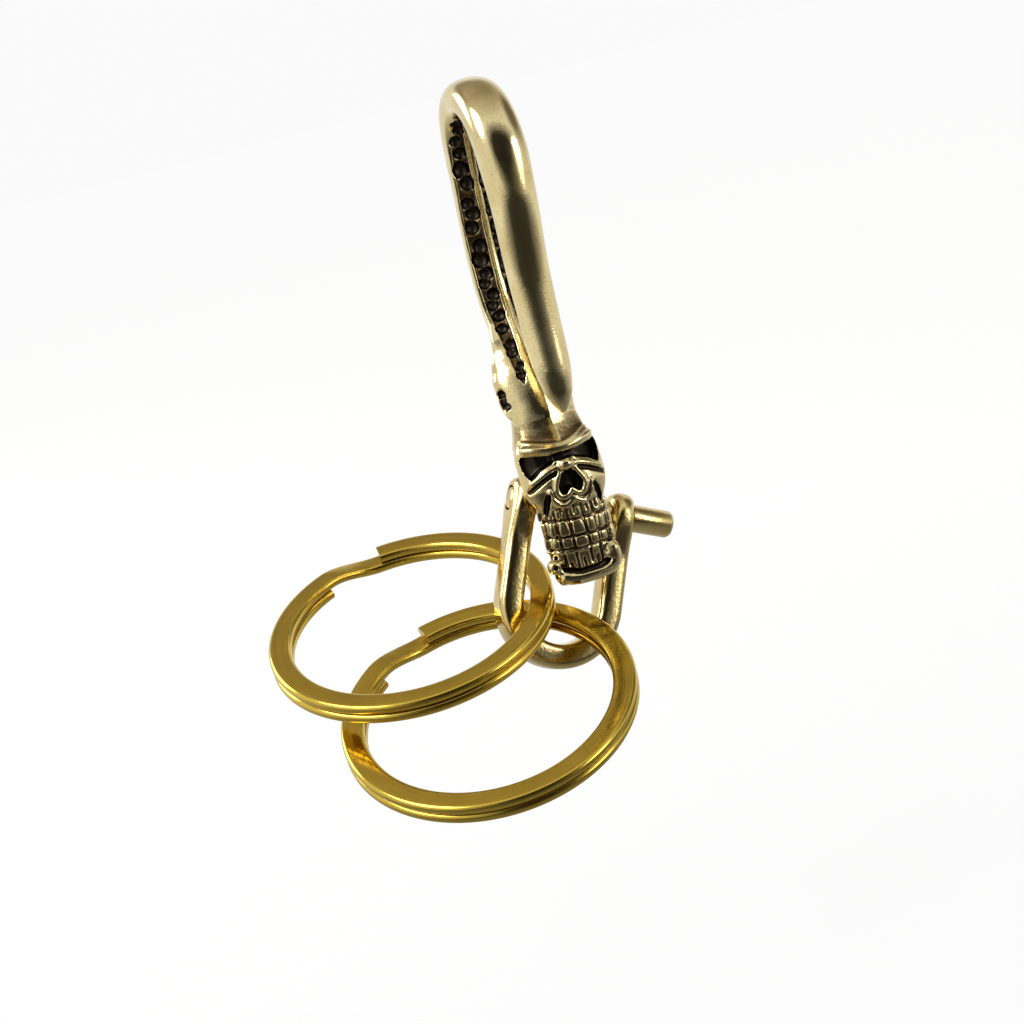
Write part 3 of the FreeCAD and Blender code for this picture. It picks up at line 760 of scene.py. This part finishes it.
# Split rings: two turns of flat drawn brass wire with a cranked step between them and cut ends.
# Each is wound as one piece and hangs loose on the shackle, with faint streaks along the wire.
RING_RADIUS = 13.2
WIRE_WIDTH = 2.3
WIRE_HEIGHT = 1.02
WIRE_EDGE = 0.46
TURN_GAP = 0.06
STEP_HALF = 13.0
END_GAP = 1.2
STEP_PARTS = 24
TURN_PARTS = 120
RINGS = (  # side, tilt to the front, tilt to the side, turn of the step
    ("left", 18.6, 6.2, 97.5), ("right", 22.8, 8.4, 109.0))
RING_PALE = (0.72, 0.52, 0.09, 1)
RING_STREAK = (0.54, 0.36, 0.045, 1)
RING_DULL = (0.58, 0.40, 0.06, 1)
ring_brass, tree, worn_by = brass("ring_brass", 240.0, 1000.0, 6000.0)
shader = tree.nodes["Principled BSDF"]
drawn = tree.nodes.new("ShaderNodeAttribute")
drawn.attribute_name = "drawn"
streaks = tree.nodes.new("ShaderNodeTexNoise")
streaks.inputs["Scale"].default_value = 5.0
streaks.inputs["Detail"].default_value = 3.0
tree.links.new(drawn.outputs["Vector"], streaks.inputs["Vector"])
streak = ramped(tree, streaks.outputs["Fac"], 0.3, 0.7)
bare = mixed(tree, "RGBA", streak, RING_PALE, RING_STREAK)
tree.links.new(mixed(tree, "RGBA", worn_by["Blotch"], bare, RING_DULL), shader.inputs["Base Color"])
tree.links.new(ramped(tree, streak, 0.0, 1.0, 0.10, 0.2), shader.inputs["Roughness"])
bumped(tree, summed(tree, streak, worn_by["Scratch"], -0.2), 0.12, 0.00004)
joints = {joint["name"]: joint for joint in frame["record"]["behaviour"]["joints"]}
for side, tilt_front, tilt_side, step_angle in RINGS:
    coil = bmesh.new()
    layer = (WIRE_HEIGHT + TURN_GAP) / 2
    bmesh.ops.create_grid(coil, x_segments=1, y_segments=1, size=0.5,
                          matrix=Matrix.Diagonal((WIRE_WIDTH, WIRE_HEIGHT, 1, 1)))
    bmesh.ops.bevel(coil, geom=coil.verts[:], offset=WIRE_EDGE, segments=5, profile=0.5,
                    affect="VERTICES", material=-1)
    bmesh.ops.delete(coil, geom=coil.faces[:], context="FACES_ONLY")
    on_edge = Matrix.Rotation(math.radians(90), 3, "X")
    bmesh.ops.rotate(coil, verts=coil.verts, cent=(0, 0, 0), matrix=on_edge)
    bmesh.ops.translate(coil, verts=coil.verts, vec=(RING_RADIUS, 0, -layer))
    start = Matrix.Rotation(math.radians(STEP_HALF + END_GAP), 3, "Z")
    bmesh.ops.rotate(coil, verts=coil.verts, cent=(0, 0, 0), matrix=start)
    first_end = coil.edges[:]
    flat_turn = math.radians(360 - 2 * STEP_HALF - END_GAP)
    last = bmesh.ops.spin(coil, geom=coil.verts[:] + first_end, axis=(0, 0, 1),
                          angle=flat_turn, steps=TURN_PARTS)["geom_last"]
    for index in range(STEP_PARTS):
        lift = 2 * layer * (rise((index + 1) / STEP_PARTS) - rise(index / STEP_PARTS))
        last = bmesh.ops.spin(coil, geom=last, axis=(0, 0, 1), dvec=(0, 0, lift),
                              angle=math.radians(2 * STEP_HALF / STEP_PARTS), steps=1)["geom_last"]
    last = bmesh.ops.spin(coil, geom=last, axis=(0, 0, 1), angle=flat_turn, steps=TURN_PARTS)["geom_last"]
    for loop in (first_end, [edge for edge in last if isinstance(edge, bmesh.types.BMEdge)]):
        bmesh.ops.contextual_create(coil, geom=loop)
    bmesh.ops.recalc_face_normals(coil, faces=coil.faces)
    ring_mesh = bpy.data.meshes.new("split_ring_%s_wire" % side)
    coil.to_mesh(ring_mesh)
    spots = numbers(ring_mesh, "co")
    from_axis = np.hypot(spots[:, 0], spots[:, 1])
    round_axis = np.arctan2(spots[:, 1], spots[:, 0])
    lengthways = np.stack((from_axis, spots[:, 2], 0.15 * round_axis), 1)
    streak_run = ring_mesh.attributes.new("drawn", "FLOAT_VECTOR", "POINT")
    streak_run.data.foreach_set("vector", lengthways.ravel())
    tilt = (Matrix.Rotation(math.radians(-tilt_side), 4, "Y")
            @ Matrix.Rotation(math.radians(tilt_front), 4, "X"))
    spin = Matrix.Rotation(math.radians(step_angle), 4, "Z")
    place = Matrix.Translation(joints["ring_%s_turn" % side]["pos_m"])
    ring_mesh.transform(place @ MM @ tilt @ spin)
    ring_mesh.shade_smooth()
    ring_mesh.set_sharp_from_angle(angle=SHARP_EDGE)
    ring = bpy.data.objects.new("split_ring_%s_wire" % side, ring_mesh)
    bpy.context.collection.objects.link(ring)
    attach(ring, "ring_%s" % side)
    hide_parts("split_ring_%s" % side)
    ring_mesh.materials.append(ring_brass)

# Camera at the photograph's angle. Its place, turn and lens were fitted to the outlines of the rings
# and the hook, so the rows of its matrix are measured values.
camera_data = bpy.data.cameras.new("camera")
camera_data.lens = 77.8
camera_data.sensor_width = 36
camera_data.clip_start = 0.01
camera_data.clip_end = 10
camera = bpy.data.objects.new("camera", camera_data)
bpy.context.collection.objects.link(camera)
camera.matrix_world = Matrix((
    (0.924216, 0.285892, -0.253163, -0.059915),
    (-0.299716, 0.132248, -0.944818, -0.202164),
    (-0.236635, 0.949092, 0.207912, 0.006886),
    (0, 0, 0, 1)))
bpy.context.scene.camera = camera

# Floor and light: a pale floor in a white tent, with three soft lamps.
# Four dim cards stand for the tent's opening, the table in front, and the tent's side and top. They fade
# towards their edges, and the camera doesn't see them: the polished brass has them to reflect.
FLOOR_Z = -0.09
LAMP_AIM = Vector((-0.005, 0, -0.035))


def card(name, place):
    """Flat stage card, two units square before its place is given."""
    bm = bmesh.new()
    bmesh.ops.create_grid(bm, x_segments=1, y_segments=1, size=1.0)
    mesh = bpy.data.meshes.new(name)
    bm.to_mesh(mesh)
    bm.free()
    made = bpy.data.objects.new(name, mesh)
    bpy.context.collection.objects.link(made)
    made.matrix_world = place
    paint = bpy.data.materials.new(name)
    paint.use_nodes = True
    mesh.materials.append(paint)
    return made, paint.node_tree


def seen_ray(tree):
    """1 for the rays that show the background: camera, glossy and transmission."""
    path = tree.nodes.new("ShaderNodeLightPath")
    first = tree.nodes.new("ShaderNodeMath")
    first.operation = "MAXIMUM"
    tree.links.new(path.outputs["Is Camera Ray"], first.inputs[0])
    tree.links.new(path.outputs["Is Glossy Ray"], first.inputs[1])
    second = tree.nodes.new("ShaderNodeMath")
    second.operation = "MAXIMUM"
    tree.links.new(first.outputs[0], second.inputs[0])
    tree.links.new(path.outputs["Is Transmission Ray"], second.inputs[1])
    return second.outputs[0]


floor, tree = card("floor", Matrix.Translation((0, 0, FLOOR_Z)) @ Matrix.Scale(4.0, 4))
shader = tree.nodes["Principled BSDF"]
shader.inputs["Base Color"].default_value = (0.92, 0.92, 0.92, 1)
shader.inputs["Roughness"].default_value = 0.9
glow = tree.nodes.new("ShaderNodeEmission")
blend = tree.nodes.new("ShaderNodeMixShader")
glow.inputs["Strength"].default_value = 1.04
tree.links.new(ramped(tree, seen_ray(tree), 0.0, 1.0, 0.0, 0.86), blend.inputs["Fac"])
tree.links.new(shader.outputs[0], blend.inputs[1])
tree.links.new(glow.outputs[0], blend.inputs[2])
tree.links.new(blend.outputs[0], tree.nodes["Material Output"].inputs["Surface"])

upright = Matrix.Rotation(math.radians(90), 4, "X")
sideways = Matrix.Rotation(math.radians(90), 4, "Y")
for name, place, size, shade in (
        ("tent_opening", Matrix.Translation((0.0, -0.5, 0.17)) @ upright, (0.6, 0.5, 1), 0.012),
        ("table_front", Matrix.Translation((-0.02, -0.3, FLOOR_Z + 0.002)), (0.42, 0.5, 1), 0.012),
        ("tent_side", Matrix.Translation((0.6, 0.0, 0.4)) @ sideways, (0.45, 0.5, 1), 0.25),
        ("tent_top", Matrix.Translation((0.0, 0.4, 0.6)), (0.8, 0.8, 1), 0.6)):
    dim, tree = card(name, place @ Matrix.Diagonal((*size, 1)))
    dim.visible_camera = False
    dim.visible_shadow = False
    shader = tree.nodes["Principled BSDF"]
    shader.inputs["Base Color"].default_value = (shade, shade * 0.9, shade * 0.75, 1)
    shader.inputs["Roughness"].default_value = 0.9
    spot = tree.nodes.new("ShaderNodeTexCoord")
    round_fade = tree.nodes.new("ShaderNodeTexGradient")
    round_fade.gradient_type = "SPHERICAL"
    clear = tree.nodes.new("ShaderNodeBsdfTransparent")
    blend = tree.nodes.new("ShaderNodeMixShader")
    tree.links.new(spot.outputs["Object"], round_fade.inputs["Vector"])
    tree.links.new(ramped(tree, round_fade.outputs["Fac"], 0.0, 0.6), blend.inputs["Fac"])
    tree.links.new(clear.outputs[0], blend.inputs[1])
    tree.links.new(shader.outputs[0], blend.inputs[2])
    tree.links.new(blend.outputs[0], tree.nodes["Material Output"].inputs["Surface"])

world = bpy.data.worlds.new("white_tent")
bpy.context.scene.world = world
world.use_nodes = True
sky = world.node_tree.nodes["Background"]
sky.inputs["Color"].default_value = (1, 1, 1, 1)
tree = world.node_tree
tree.links.new(ramped(tree, seen_ray(tree), 0.0, 1.0, 0.5, 0.96), sky.inputs["Strength"])
for name, place, size, power in (
        ("key_lamp", (-0.45, -0.12, 0.4), 0.4, 2.6),
        ("fill_lamp", (0.4, -0.45, 0.08), 0.3, 0.8),
        ("back_lamp", (-0.45, 0.45, 0.3), 0.4, 1.6)):
    lamp_data = bpy.data.lights.new(name, "AREA")
    lamp_data.shape = "DISK"
    lamp_data.size = size
    lamp_data.energy = power
    lamp = bpy.data.objects.new(name, lamp_data)
    bpy.context.collection.objects.link(lamp)
    lamp.location = place
    lamp.rotation_euler = (LAMP_AIM - Vector(place)).to_track_quat("-Z", "Y").to_euler()

bpy.context.scene.view_settings.view_transform = "Standard"
